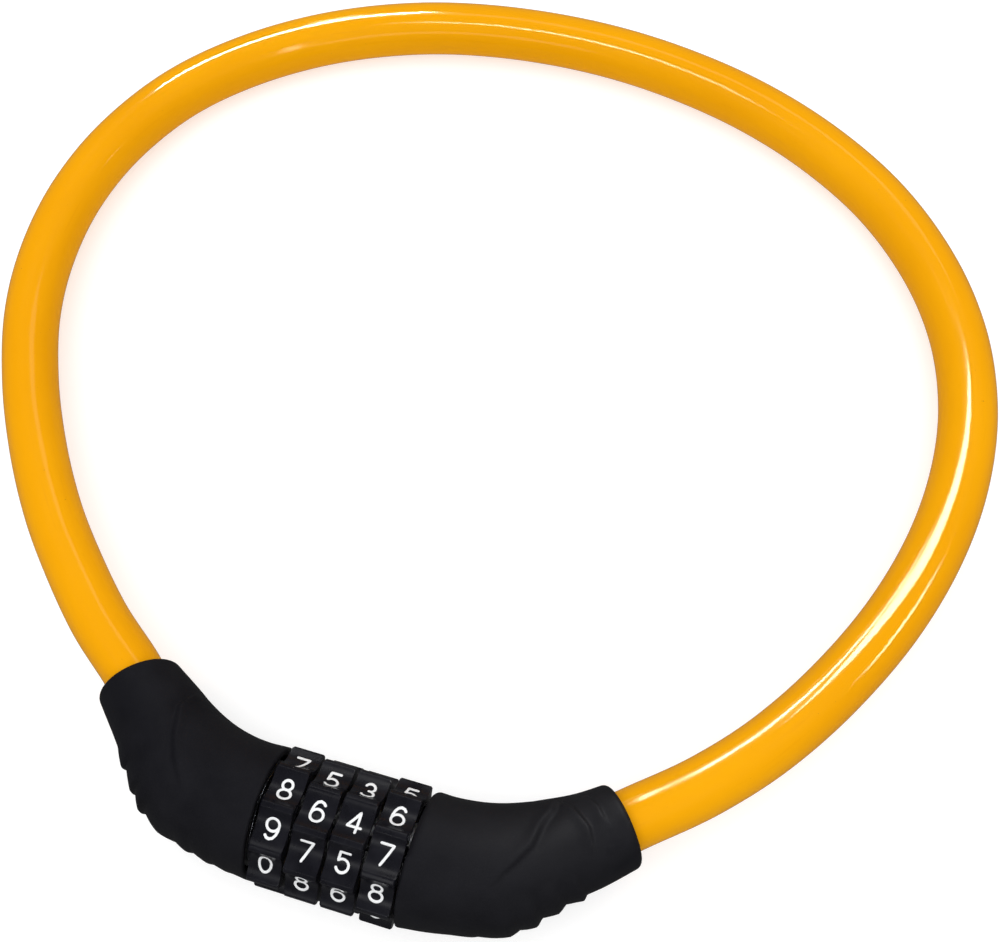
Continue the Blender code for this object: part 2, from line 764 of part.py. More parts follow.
def cable():
    """Jacket and strand, in world directions, about the wheels' middle on the table."""
    ends = []
    for elbow in (BODY, PLUG):
        inside, outside = elbow.length - STRAIGHT_INSIDE, elbow.length + STRAIGHT_OUTSIDE
        stops = [elbow.grip - STRAND_TAIL, elbow.grip, inside, outside]
        ends.append([cable_end(elbow, stop) for stop in stops])
    body_end, plug_end = ends
    free = [Vector(point) * MM for point in CABLE_ROUTE]
    points = smooth_route(body_end[1:] + free + plug_end[:0:-1], CABLE_POINTS)
    jacket = tube("cable_jacket", points, [JACKET_R] * len(points), 10, JACKET_PVC)
    first = points[0] * 2 - points[1]
    last = points[-1] * 2 - points[-2]
    through = [first] + points + [last]
    bore = tube("jacket_bore", through, [JACKET_BORE_R] * len(through), 8, None)
    cut(jacket, bore)
    inner = [body_end[0]] + points + [plug_end[0]]
    strand = tube("cable_core", inner, [STRAND_R] * len(inner), 8, STRAND_STEEL)
    for obj in (jacket, bore, strand):
        obj.location = (-HEAD_CENTRE_X, -HEAD_CENTRE_Y, 0)
    smooth(jacket.data, CABLE_SHARP)
    smooth(strand.data, CABLE_SHARP)
    return strand


def build():
    for index in range(WHEELS):
        number_wheel(index)
        clutch_ring(index)
        detent(index)
    barrel()
    thrust_parts()
    retaining_ring()
    reset_collar()
    locking_pin()
    plug_washer()
    cross_pin("barrel_cross_pin", BARREL_PIN_ALONG)
    cross_pin("lock_pin_cross_pin", LOCK_PIN_ALONG)

    cover(BODY, BODY_EDGE)
    cover(PLUG, PLUG_EDGE)
    barrel_seat = rod("barrel_seat", BARREL_R + GAP, BARREL_REAR - GAP, -SEAT_START, None, 28)
    barrel_hole = cross_hole("barrel_pin_seat", BARREL_PIN_ALONG, CROSS_SEAT_HALF)
    core(BODY, BODY_CORE_FACE, [place(barrel_seat), barrel_hole] + cable_seat(BODY))
    pin_seat = rod("lock_pin_seat", PIN_R + GAP, SEAT_START, PIN_REAR + GAP, None, 20)
    head_seat = rod("lock_pin_head_seat", PIN_HEAD_R + GAP, SEAT_START, PIN_HEAD_HIGH + GAP, None, 20)
    pin_hole = cross_hole("lock_pin_pin_seat", LOCK_PIN_ALONG, CROSS_SEAT_HALF)
    core(PLUG, PLUG_CORE_FACE, [place(pin_seat), place(head_seat), pin_hole] + cable_seat(PLUG))

    body_hole = ferrule(BODY)
    plug_hole = ferrule(PLUG)
    strand = cable()
    cut(strand, body_hole)
    cut(strand, plug_hole)


build()
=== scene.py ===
"""Looks of the combination cable lock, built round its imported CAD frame.

World +X runs along the number wheels' axis from the lock's body to its plug, +Y points from the lock head
into the cable's loop, and +Z is up. The lock lies on the floor at Z 0. Lengths in the tables are millimetres.
"""

from math import cos, exp, pi, radians, sin, sqrt

import bmesh
import bpy
from mathutils import Matrix, Vector


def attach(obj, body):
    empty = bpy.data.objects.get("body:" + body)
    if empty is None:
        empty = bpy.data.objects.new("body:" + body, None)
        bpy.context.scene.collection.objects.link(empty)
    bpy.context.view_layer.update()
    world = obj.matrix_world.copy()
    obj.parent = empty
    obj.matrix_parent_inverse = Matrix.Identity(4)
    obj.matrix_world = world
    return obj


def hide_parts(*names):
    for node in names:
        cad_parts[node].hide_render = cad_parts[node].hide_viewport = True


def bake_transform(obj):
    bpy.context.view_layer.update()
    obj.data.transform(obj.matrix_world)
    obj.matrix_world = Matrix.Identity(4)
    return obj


MM = 0.001

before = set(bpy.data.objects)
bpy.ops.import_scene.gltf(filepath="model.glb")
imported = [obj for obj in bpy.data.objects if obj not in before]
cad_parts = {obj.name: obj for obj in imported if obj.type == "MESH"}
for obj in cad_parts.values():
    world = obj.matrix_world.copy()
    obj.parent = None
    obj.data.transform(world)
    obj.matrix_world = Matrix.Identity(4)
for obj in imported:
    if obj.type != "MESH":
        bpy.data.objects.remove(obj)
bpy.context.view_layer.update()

# ---- sizes shared with the CAD part ----

WHEELS_MIDDLE = Vector((-0.55, -4.5, 13.9)) * MM  # on the axis, halfway along the four wheels
WHEELS = 4
POSITIONS = 10
WHEEL_PITCH = 7.3
WHEEL_WIDTH = 6.5
RIDGE_R = 13.8
FLUTE_R = 11.9
RIDGE_WIDTH = 1.2
RIM_CHAMFER = 0.25
WHEEL_BORE_R = 10.0
KEYWAY_DEPTH = 0.8
KEYWAY_WIDTH = 1.9
WHEEL_TURNS = (12.0, 22.5, 22.0, 5.0)  # degrees from the top, away from the loop, to a first flute

BODY_FACE = 15.0
PLUG_FACE = 14.9
ELBOW_LEAD = 2.5
ELBOW_R = 36.0
BODY_TURN = radians(43.5)
PLUG_TURN = radians(39.7)
BODY_TAIL = 10.6
PLUG_TAIL = 14.4
SHOULDER_R = 13.2
SHOULDER_LENGTH = 7.0
MOUTH_R = 8.4
COVER_WALL = 1.8
COVER_TALLNESS = 1.075
MOUTH_GRIP = 9.2  # how far the jacket goes into a mouth
MOUTH_LEAN = 0.13
MOUTH_LEAN_OVER = 14.0  # the stretch before a mouth over which its sections come to lean

JACKET_R = 6.0
JACKET_BORE_R = 3.3
STRAND_R = 3.0
STRAND_TAIL = 12.5  # how far the strand runs on past each end of the jacket

# The cable's line from mouth to mouth, from the wheels' middle, with the height of its centre.
CABLE_ROUTE = [
    (-62.5, 27, 13.6),
    (-72.5, 36.5, 13.2),
    (-81.5, 46.5, 12.7),
    (-90.5, 59, 12.1),
    (-98.5, 73, 11.4),
    (-105, 89, 10.5),
    (-108, 105, 9.6),
    (-107.5, 121, 8.8),
    (-103, 137.5, 7.9),
    (-94, 153.5, 7.1),
    (-80.5, 166.7, 6.6),
    (-63.5, 177.5, 6.3),
    (-44.5, 184.8, 6.2),
    (-24.5, 188.8, 6.2),
    (-4, 189.9, 6.2),
    (16.5, 188.2, 6.2),
    (36.5, 183.7, 6.2),
    (55.5, 176, 6.3),
    (72, 165.5, 6.6),
    (85.5, 151.5, 7.2),
    (94.5, 136.5, 7.9),
    (99.3, 120, 8.8),
    (100.3, 103.5, 9.7),
    (98, 87, 10.6),
    (92.5, 70, 11.5),
    (84.5, 54, 12.3),
    (75, 40, 13.0),
    (64.5, 28.5, 13.5),
]

# ---- camera, floor and lights ----

# Where the camera stands, in metres, the world directions of its right and its top, and its focal length
# in mm for Blender's own 36 mm sensor.
CAMERA_AT = (0.0508, -0.0067, 0.2846)
CAMERA_RIGHT = (0.957, 0.2825, -0.0667)
CAMERA_UP = (-0.2483, 0.9158, 0.3157)
FOCAL_LENGTH = 49.2

# The studio round the lock, in metres and watts.
STUDIO_MIDDLE = (0, 0.1, 0)
SKY_STRENGTH = 0.15
OVERHEAD_AT = (0.0, 0.1, 1.5)
OVERHEAD_TOWARDS = (0.0, 0.09, 0.0)
OVERHEAD_SIZE = 2.6
OVERHEAD_POWER = 44
FLOOR_SIZE = 14
FLOOR_GLOW = 0.62
BACKDROP_RADIUS = 5
BACKDROP_GLOW = 0.72


def add_camera():
    data = bpy.data.cameras.new("camera")
    data.lens = FOCAL_LENGTH
    data.clip_start = 0.01
    camera = bpy.data.objects.new("camera", data)
    bpy.context.scene.collection.objects.link(camera)
    right = Vector(CAMERA_RIGHT).normalized()
    back = right.cross(Vector(CAMERA_UP)).normalized()
    up = back.cross(right)
    turn = Matrix((right, up, back)).transposed()
    camera.matrix_world = Matrix.Translation(CAMERA_AT) @ turn.to_4x4()
    bpy.context.scene.camera = camera


def area_light(name, at, towards, width, length, power):
    data = bpy.data.lights.new(name, "AREA")
    data.shape = "RECTANGLE"
    data.size = width
    data.size_y = length
    data.energy = power
    light = bpy.data.objects.new(name, data)
    light.location = at
    light.rotation_mode = "QUATERNION"
    light.rotation_quaternion = (Vector(towards) - Vector(at)).to_track_quat("-Z", "Y")
    bpy.context.scene.collection.objects.link(light)
    return light


# Lamps that only make streaks on glossy surfaces: name, the spot that it points at in mm, its bearing
# and height seen from that spot in degrees, its distance, width and length in m, watts, and its
# spread in degrees. A narrow spread, or a lamp close by, keeps a streak to its own stretch of cable.
LAMPS = [
    ("lamp_right", (90, 85, 16), 115, 60, 0.12, 0.06, 0.05, 0.13, 90),
    ("lamp_right_low", (70, 35, 18), 125, 35, 0.5, 0.02, 0.2, 0.013, 20),
    ("lamp_right_outer", (90, 60, 18), 10, 45, 0.5, 0.16, 0.06, 0.025, 26),
    ("lamp_left", (-75, 165, 12), 120, 50, 0.15, 0.09, 0.02, 0.11, 60),
    ("lamp_far", (-20, 180, 12), -135, 75, 0.5, 0.03, 0.16, 0.006, 16),
    ("lamp_front", (0, 90, 0), -60, 50, 1.1, 0.04, 0.4, 0.8, 180),
    ("panel_front", (0, -5, 14), -85, 45, 0.8, 0.5, 0.16, 0.6, 180),
    ("panel_back", (0, -5, 14), 95, 45, 0.8, 0.5, 0.12, 0.4, 180),
]


def lamp_place(spot, bearing, height, distance):
    """The point at a distance from a spot, at a bearing from +X towards +Y and a height over the level."""
    bearing = radians(bearing)
    height = radians(height)
    towards_lamp = Vector((cos(height) * cos(bearing), cos(height) * sin(bearing), sin(height)))
    return spot + towards_lamp * distance


def add_studio():
    world = bpy.data.worlds.new("studio")
    world.use_nodes = True
    sky = world.node_tree.nodes["Background"]
    sky.inputs["Color"].default_value = (1.0, 1.0, 1.0, 1.0)
    sky.inputs["Strength"].default_value = SKY_STRENGTH
    bpy.context.scene.world = world
    bpy.context.scene.view_settings.view_transform = "Standard"

    # The overhead panel only fills; the lamps only make the streaks that glossy surfaces show.
    overhead = area_light(
        "overhead", OVERHEAD_AT, OVERHEAD_TOWARDS, OVERHEAD_SIZE, OVERHEAD_SIZE, OVERHEAD_POWER
    )
    overhead.visible_glossy = False
    for name, spot_mm, bearing, height, distance, width, length, power, spread in LAMPS:
        spot = Vector(spot_mm) * MM
        at = lamp_place(spot, bearing, height, distance)
        lamp = area_light(name, at, spot, width, length, power)
        lamp.data.spread = radians(spread)
        lamp.visible_diffuse = False
        lamp.visible_camera = False

    bpy.ops.mesh.primitive_plane_add(size=FLOOR_SIZE, location=STUDIO_MIDDLE)
    floor = bpy.context.object
    floor.name = "floor"
    floor.data.materials.append(FLOOR)
    floor.visible_glossy = False

    # A pale dome closes the view above the floor. It lights nothing and shows in no reflection.
    bpy.ops.mesh.primitive_uv_sphere_add(
        segments=64, ring_count=32, radius=BACKDROP_RADIUS, location=STUDIO_MIDDLE
    )
    backdrop = bpy.context.object
    backdrop.name = "backdrop"
    backdrop.data.materials.append(BACKDROP)
    for kind in ("visible_diffuse", "visible_glossy", "visible_transmission", "visible_shadow"):
        setattr(backdrop, kind, False)


# ---- materials ----


class Shader:
    """A Principled material and short ways to add the nodes that its detail comes from."""

    def __init__(self, name, **constants):
        self.made = bpy.data.materials.new(name)
        self.made.use_nodes = True
        self.tree = self.made.node_tree
        self.surface = self.tree.nodes["Principled BSDF"]
        for key, value in constants.items():
            socket = self.surface.inputs[key.replace("_", " ")]
            socket.default_value = (*value, 1.0) if isinstance(value, tuple) else value

    def node(self, kind, **settings):
        node = self.tree.nodes.new(kind)
        for key, value in settings.items():
            setattr(node, key, value)
        return node

    def link(self, start, end):
        self.tree.links.new(start, end)

    def place(self, name=None, stretch=(1, 1, 1)):
        """Positions in metres, of the object or of a named attribute, stretched along each axis."""
        mapping = self.node("ShaderNodeMapping")
        mapping.inputs["Scale"].default_value = stretch
        if name:
            source = self.node("ShaderNodeAttribute", attribute_name=name)
            self.link(source.outputs["Vector"], mapping.inputs["Vector"])
        else:
            source = self.node("ShaderNodeTexCoord")
            self.link(source.outputs["Object"], mapping.inputs["Vector"])
        return mapping.outputs["Vector"]

    def noise(self, where, scale, detail=3.0, roughness=0.55, distortion=0.0):
        node = self.node("ShaderNodeTexNoise")
        node.inputs["Scale"].default_value = scale
        node.inputs["Detail"].default_value = detail
        node.inputs["Roughness"].default_value = roughness
        node.inputs["Distortion"].default_value = distortion
        self.link(where, node.inputs["Vector"])
        return node.outputs["Fac"]

    def ranged(self, value, low, high, out_low, out_high):
        node = self.node("ShaderNodeMapRange")
        node.inputs["From Min"].default_value = low
        node.inputs["From Max"].default_value = high
        node.inputs["To Min"].default_value = out_low
        node.inputs["To Max"].default_value = out_high
        self.link(value, node.inputs["Value"])
        return node.outputs["Result"]

    def mixed(self, share, first, second):
        """Two colours, or a colour over another node's, mixed by a share."""
        node = self.node("ShaderNodeMix", data_type="RGBA")
        self.link(share, node.inputs["Factor"])
        for socket, colour in ((node.inputs[6], first), (node.inputs[7], second)):
            if isinstance(colour, tuple):
                socket.default_value = (*colour, 1.0)
            else:
                self.link(colour, socket)
        return node.outputs[2]

    def added(self, first, second, share=1.0):
        node = self.node("ShaderNodeMath", operation="MULTIPLY_ADD")
        node.inputs[1].default_value = share
        self.link(second, node.inputs[0])
        self.link(first, node.inputs[2])
        return node.outputs[0]

    def bumped(self, height, depth_mm, strength=1.0):
        node = self.node("ShaderNodeBump")
        node.inputs["Strength"].default_value = strength
        node.inputs["Distance"].default_value = depth_mm * MM
        self.link(height, node.inputs["Height"])
        self.link(node.outputs["Normal"], self.surface.inputs["Normal"])

    def sets(self, name, value):
        self.link(value, self.surface.inputs[name])


def floor_paper():
    """Pale paper, partly self-lit so that it looks white."""
    shader = Shader("floor_paper", Base_Color=(0.5, 0.5, 0.5), Roughness=0.9)
    shader.surface.inputs["Specular IOR Level"].default_value = 0.1
    shader.surface.inputs["Emission Color"].default_value = (1.0, 1.0, 1.0, 1.0)
    shader.surface.inputs["Emission Strength"].default_value = FLOOR_GLOW
    return shader.made


def backdrop_paper():
    shader = Shader("backdrop_paper", Base_Color=(0.0, 0.0, 0.0), Roughness=1.0)
    shader.surface.inputs["Specular IOR Level"].default_value = 0.0
    shader.surface.inputs["Emission Color"].default_value = (1.0, 1.0, 1.0, 1.0)
    shader.surface.inputs["Emission Strength"].default_value = BACKDROP_GLOW
    return shader.made


def rubber():
    """Matte moulded rubber: fine grain, clouds of tone and a faint dusty bloom."""
    shader = Shader("cover_rubber_fine", Roughness=0.62)
    shader.surface.inputs["Specular IOR Level"].default_value = 0.15
    where = shader.place()
    grain = shader.noise(where, 5200, 2)
    cloud = shader.noise(where, 140, 4)
    fleck = shader.noise(where, 1900, 3, 0.7)
    clouded = shader.ranged(cloud, 0.35, 0.7, 0, 1)
    base = shader.mixed(clouded, (0.0052, 0.0052, 0.0072), (0.0078, 0.0078, 0.0102))
    dusty = shader.mixed(shader.ranged(fleck, 0.66, 0.8, 0, 0.55), base, (0.022, 0.022, 0.024))
    shader.sets("Base Color", dusty)
    shader.sets("Roughness", shader.ranged(cloud, 0.3, 0.75, 0.56, 0.7))
    shader.bumped(shader.added(grain, fleck, 0.6), 0.03, 0.7)
    return shader.made


def wheel_gloss():
    """Moulded gloss plastic: nearly black, softly polished, with a few fine scuffs that stay faint."""
    shader = Shader("wheel_gloss", Roughness=0.28)
    shader.surface.inputs["Specular IOR Level"].default_value = 0.3
    scuff = shader.noise(shader.place(stretch=(1.0, 0.3, 0.3)), 1500, 3, 0.6)
    cloud = shader.noise(shader.place(), 300, 3)
    clouded = shader.ranged(cloud, 0.35, 0.7, 0, 1)
    base = shader.mixed(clouded, (0.0035, 0.0035, 0.006), (0.006, 0.006, 0.0095))
    scuffed = shader.ranged(scuff, 0.7, 0.8, 0, 0.3)
    shader.sets("Base Color", shader.mixed(scuffed, base, (0.025, 0.025, 0.03)))
    shader.sets("Roughness", shader.ranged(cloud, 0.3, 0.7, 0.24, 0.34))
    shader.bumped(cloud, 0.01, 0.3)
    return shader.made


def numeral_paint():
    """Satin white paint with small worn, greyer spots."""
    shader = Shader("numeral_paint", Roughness=0.45)
    worn = shader.noise(shader.place(), 2400, 4, 0.7)
    greyed = shader.ranged(worn, 0.6, 0.85, 0, 0.5)
    shader.sets("Base Color", shader.mixed(greyed, (0.86, 0.87, 0.88), (0.6, 0.6, 0.6)))
    shader.bumped(worn, 0.02, 0.5)
    return shader.made


def jacket_pvc():
    """Glossy PVC: clouds of tone, streaks drawn along it, dark specks and patches of fine dimples."""
    shader = Shader("jacket_pvc_gloss", Roughness=0.1)
    shader.surface.inputs["Specular Tint"].default_value = (1.0, 0.9, 0.62, 1.0)
    shader.surface.inputs["Specular IOR Level"].default_value = 0.25
    along = shader.place("unrolled", (1, 1, 0.05))
    streaks = shader.noise(along, 900, 3, 0.6)
    ripple = shader.noise(shader.place("unrolled", (1, 1, 0.22)), 260, 2)
    cloud = shader.noise(shader.place("unrolled", (1, 1, 0.4)), 42, 4)
    specks = shader.noise(shader.place("unrolled"), 1300, 2, 0.5)
    tone = shader.mixed(shader.ranged(cloud, 0.3, 0.72, 0, 1), (0.83, 0.345, 0.0012), (0.9, 0.395, 0.002))
    drawn = shader.mixed(shader.ranged(streaks, 0.62, 0.8, 0, 0.35), tone, (0.76, 0.29, 0.0015))
    marked = shader.mixed(shader.ranged(specks, 0.765, 0.81, 0, 0.8), drawn, (0.42, 0.15, 0.01))
    shader.sets("Base Color", marked)
    shader.sets("Roughness", shader.ranged(streaks, 0.3, 0.75, 0.06, 0.13))
    patches = shader.ranged(shader.noise(shader.place("unrolled"), 75, 3), 0.55, 0.7, 0, 1)
    dimples = shader.noise(shader.place("unrolled", (1, 1, 0.5)), 800, 2)
    rough_spots = shader.node("ShaderNodeMath", operation="MULTIPLY")
    shader.link(patches, rough_spots.inputs[0])
    shader.link(dimples, rough_spots.inputs[1])
    height = shader.added(shader.added(ripple, streaks, 0.12), rough_spots.outputs[0], 0.22)
    shader.bumped(height, 0.06, 0.5)
    return shader.made


def metal(name, colour, roughness, brushed=(1, 1, 1), scale=1500):
    """Bare metal with machining lines and a little variation in tone."""
    shader = Shader(name, Metallic=1.0, Roughness=roughness)
    lines = shader.noise(shader.place(stretch=brushed), scale, 3, 0.6)
    cloud = shader.noise(shader.place(), 260, 3)
    darker = tuple(channel * 0.72 for channel in colour)
    smoothest, roughest = roughness * 0.75, min(roughness * 1.5, 0.9)
    shader.sets("Base Color", shader.mixed(shader.ranged(cloud, 0.3, 0.75, 0, 1), colour, darker))
    shader.sets("Roughness", shader.ranged(lines, 0.25, 0.8, smoothest, roughest))
    shader.bumped(lines, 0.01, 0.5)
    return shader.made


def hard_plastic():
    """Satin moulded plastic: nearly black, grained, with clouds of tone."""
    shader = Shader("core_plastic_satin", Roughness=0.45)
    where = shader.place()
    grain = shader.noise(where, 3600, 3)
    cloud = shader.noise(where, 200, 3)
    clouded = shader.ranged(cloud, 0.3, 0.7, 0, 1)
    shader.sets("Base Color", shader.mixed(clouded, (0.016, 0.016, 0.018), (0.026, 0.026, 0.029)))
    shader.sets("Roughness", shader.ranged(grain, 0.3, 0.7, 0.38, 0.54))
    shader.bumped(grain, 0.015, 0.6)
    return shader.made


FLOOR = floor_paper()
BACKDROP = backdrop_paper()
RUBBER = rubber()
WHEEL_GLOSS = wheel_gloss()
NUMERAL_PAINT = numeral_paint()
JACKET_PVC = jacket_pvc()
CORE_PLASTIC = hard_plastic()
STRAND_STEEL = metal("strand_steel_dull", (0.5, 0.5, 0.52), 0.4)
BRASS = metal("brass_machined", (0.76, 0.53, 0.22), 0.3, (0.1, 1, 1))
ZINC = metal("zinc_cast", (0.52, 0.53, 0.55), 0.42, scale=900)
STEEL = metal("steel_turned", (0.66, 0.66, 0.68), 0.24, (1, 0.12, 0.12))
SPRING_STEEL = metal("spring_steel_drawn", (0.5, 0.52, 0.57), 0.22)

# ---- mesh helpers ----


def piece_from(name, mesh, finish):
    obj = bpy.data.objects.new(name, mesh)
    bpy.context.scene.collection.objects.link(obj)
    mesh.materials.append(finish)
    return obj


def skin(name, rings, finish, closed=True, sharp=None):
    """A surface through rings of points, all with the same count. closed joins the last ring to the first."""
    count = len(rings[0])
    points = [point for ring in rings for point in ring]
    faces = []
    spans = len(rings) if closed else len(rings) - 1
    for row in range(spans):
        low, high = row * count, (row + 1) % len(rings) * count
        for i in range(count):
            j = (i + 1) % count
            faces.append((low + i, low + j, high + j, high + i))
    mesh = bpy.data.meshes.new(name)
    mesh.from_pydata(points, [], faces)
    outwards(mesh)
    mesh.shade_smooth()
    if sharp:
        mesh.set_sharp_from_angle(angle=sharp)
    return piece_from(name, mesh, finish)


def outwards(mesh):
    """Turns every face of a closed mesh outwards."""
    shape = bmesh.new()
    shape.from_mesh(mesh)
    bmesh.ops.recalc_face_normals(shape, faces=shape.faces)
    shape.to_mesh(mesh)
    shape.free()


def eased(share):
    """A share held between 0 and 1 that starts and ends softly."""
    share = min(max(share, 0.0), 1.0)
    return share * share * (3 - 2 * share)


# ---- elbows that the covers and the cable's ends follow ----


class Elbow:
    """One half's centre line: straight, then bent towards the loop, then straight to its mouth."""

    def __init__(self, face, turn, tail, side):
        self.face, self.turn, self.tail, self.side = face, turn, tail, side
        self.bend = ELBOW_R * turn
        self.length = ELBOW_LEAD + self.bend + tail

    def at(self, distance):
        """(centre in metres, direction towards the loop) at a distance in mm from the wheels' end."""
        angle = min(max(distance - ELBOW_LEAD, 0), self.bend) / ELBOW_R
        straight = max(distance - ELBOW_LEAD - self.bend, 0)
        inward = ELBOW_R * (1 - cos(angle)) + straight * sin(self.turn)
        along = self.face + min(distance, ELBOW_LEAD) + ELBOW_R * sin(angle) + straight * cos(self.turn)
        centre = WHEELS_MIDDLE + Vector((self.side * along, inward, 0)) * MM
        return centre, Vector((-self.side * sin(angle), cos(angle), 0))

    def lean(self, distance):
        """How far, in metres, a section leans towards the cable for each millimetre of height."""
        towards = Vector((self.side * cos(self.turn), sin(self.turn), 0))
        return towards * MOUTH_LEAN * eased((distance - self.length) / MOUTH_LEAN_OVER + 1) * MM

    def height(self, distance):
        """Half of the cover's height here, in mm."""
        share = (distance - SHOULDER_LENGTH) / (self.length - SHOULDER_LENGTH)
        share = min(max(share, 0), 1)
        radius = SHOULDER_R - (SHOULDER_R - MOUTH_R) * (1 - cos(pi * share)) / 2
        return radius * COVER_TALLNESS


BODY = Elbow(BODY_FACE, BODY_TURN, BODY_TAIL, -1)
PLUG = Elbow(PLUG_FACE, PLUG_TURN, PLUG_TAIL, 1)

# ---- cable ----

JACKET_RINGS = 420
JACKET_SIDES = 40
JACKET_WAVES = ((0.035, 61, 2), (0.025, 143, -1))  # depth in mm, radians a metre along, lobes round
BORE_RING_STEP = 4  # the bore has a ring for every fourth one outside
STRAND_SIDES = 42
STRAND_WIRES = 6
STRAND_LAY = 0.045  # the length of one twist, in metres
STRAND_GROOVE = 0.45
BEFORE_MOUTH = 4  # the route keeps to a mouth's own line from here inside it
PAST_MOUTH = 3  # to here outside it
STEPS_BETWEEN = 20  # fine steps between two of the route's own points


def smooth_route(points, count):
    """Points evenly spread along a smooth curve through the route's own points."""
    padded = [points[0] * 2 - points[1]] + points + [points[-1] * 2 - points[-2]]
    fine = []
    for before, a, b, after in zip(padded, padded[1:], padded[2:], padded[3:]):
        for step in range(STEPS_BETWEEN):
            t = step / STEPS_BETWEEN
            square = (2 * before - 5 * a + 4 * b - after) * t**2
            cube = (3 * a - before - 3 * b + after) * t**3
            fine.append((2 * a + (b - before) * t + square + cube) / 2)
    fine.append(points[-1])
    lengths = [0.0]
    for a, b in zip(fine, fine[1:]):
        lengths.append(lengths[-1] + (b - a).length)
    spread, index = [], 0
    for step in range(count):
        target = lengths[-1] * step / (count - 1)
        while index < len(fine) - 2 and lengths[index + 1] < target:
            index += 1
        share = (target - lengths[index]) / (lengths[index + 1] - lengths[index])
        spread.append(fine[index].lerp(fine[index + 1], share))
    return spread


def cable_line(count):
    """The jacket's centre line, from end to end, and the strand's two tails beyond it."""
    ends = []
    for elbow in (BODY, PLUG):
        grip = elbow.length - MOUTH_GRIP
        stops = (grip - STRAND_TAIL, grip, elbow.length - BEFORE_MOUTH, elbow.length + PAST_MOUTH)
        ends.append([straight_end(elbow, stop) for stop in stops])
    offset = Vector((WHEELS_MIDDLE.x, WHEELS_MIDDLE.y, 0))
    free = [Vector(point) * MM + offset for point in CABLE_ROUTE]
    route = ends[0][1:] + free + ends[1][:0:-1]
    return smooth_route(route, count), ends[0][0], ends[1][0]


def straight_end(elbow, distance):
    """A point on the line of an elbow's straight stretch, even where the elbow itself still bends."""
    start = elbow.length - elbow.tail
    centre, _ = elbow.at(start)
    forward = Vector((elbow.side * cos(elbow.turn), sin(elbow.turn), 0))
    return centre + forward * (distance - start) * MM


def ring_frames(points):
    """For each point of a line: the point, its sideways and its upward direction, and its distance along."""
    frames, distance = [], 0.0
    for i, point in enumerate(points):
        before, after = points[max(i - 1, 0)], points[min(i + 1, len(points) - 1)]
        forward = (after - before).normalized()
        sideways = Vector((0, 0, 1)).cross(forward).normalized()
        upward = forward.cross(sideways)
        if i:
            distance += (point - points[i - 1]).length
        frames.append((point, sideways, upward, distance))
    return frames


def cable_jacket(points):
    """The jacket: a bored tube, very slightly uneven, as extruded PVC is."""
    sides = JACKET_SIDES
    frames = ring_frames(points)
    bore, outer, unrolled = [], [], []
    for point, sideways, upward, distance in frames:
        ring = []
        for i in range(sides):
            angle = 2 * pi * i / sides
            wave = sum(depth * sin(distance * along + lobes * angle) for depth, along, lobes in JACKET_WAVES)
            radius = (JACKET_R + wave) * MM
            ring.append(point + (sideways * cos(angle) + upward * sin(angle)) * radius)
            unrolled.append((JACKET_R * MM * cos(angle), JACKET_R * MM * sin(angle), distance))
        outer.append(ring)
    inside = [frames[-1]] + frames[-BORE_RING_STEP : BORE_RING_STEP - 1 : -BORE_RING_STEP] + [frames[0]]
    for point, sideways, upward, distance in inside:
        ring = []
        for i in range(sides):
            angle = 2 * pi * i / sides
            ring.append(point + (sideways * cos(angle) + upward * sin(angle)) * JACKET_BORE_R * MM)
            bore_radius = JACKET_BORE_R * MM
            unrolled.append((bore_radius * cos(angle), bore_radius * sin(angle), distance))
        bore.append(ring)
    jacket = skin("jacket", outer + bore, JACKET_PVC, sharp=radians(50))
    flow = jacket.data.attributes.new("unrolled", "FLOAT_VECTOR", "POINT")
    flow.data.foreach_set("vector", [value for place in unrolled for value in place])
    return jacket


def cable_strand(points):
    """The steel strand in the jacket: one skin with the lobes of six wires laid round a core."""
    sides = STRAND_SIDES
    rings = []
    for point, sideways, upward, distance in ring_frames(points):
        twist = 2 * pi * distance / STRAND_LAY
        ring = []
        for i in range(sides):
            angle = 2 * pi * i / sides
            lobe = abs(cos(STRAND_WIRES / 2 * (angle - twist)))
            radius = (STRAND_R - STRAND_GROOVE + STRAND_GROOVE * lobe) * MM
            ring.append(point + (sideways * cos(angle) + upward * sin(angle)) * radius)
        rings.append(ring)
    strand = skin("strand", rings, STRAND_STEEL, closed=False)
    shape = bmesh.new()
    shape.from_mesh(strand.data)
    bmesh.ops.holes_fill(shape, edges=shape.edges, sides=sides)
    bmesh.ops.recalc_face_normals(shape, faces=shape.faces)
    shape.to_mesh(strand.data)
    shape.free()
    return strand


def add_cable():
    line, body_tail, plug_tail = cable_line(JACKET_RINGS)
    jacket = cable_jacket(line)
    strand = cable_strand([body_tail] + line[::2] + [line[-1], plug_tail])
    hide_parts("cable_jacket")
    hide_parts("cable_core")
    # The jacket and the strand have their placement baked into their meshes.
    for obj in (jacket, strand):
        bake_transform(obj)


# ---- covers ----

# Half widths of the covers' plain shape, towards the loop and away from it, by distance from the wheels.
# Each is a smooth curve through a few points: a shoulder, a belly or waist, and the mouth.
BODY_INNER = [(0, 13.2), (15, 12.4), (29, 10.9), (40, 8.4)]
BODY_OUTER = [(0, 13), (9, 12.1), (17, 12), (26, 9.3), (40, 8.2)]
PLUG_INNER = [(0, 13.3), (12, 12.8), (25, 11.2), (35, 8.8), (42, 8)]
PLUG_OUTER = [(0, 13), (8, 12.1), (17, 11.8), (25, 9.4), (34, 9.2), (42, 8.6)]

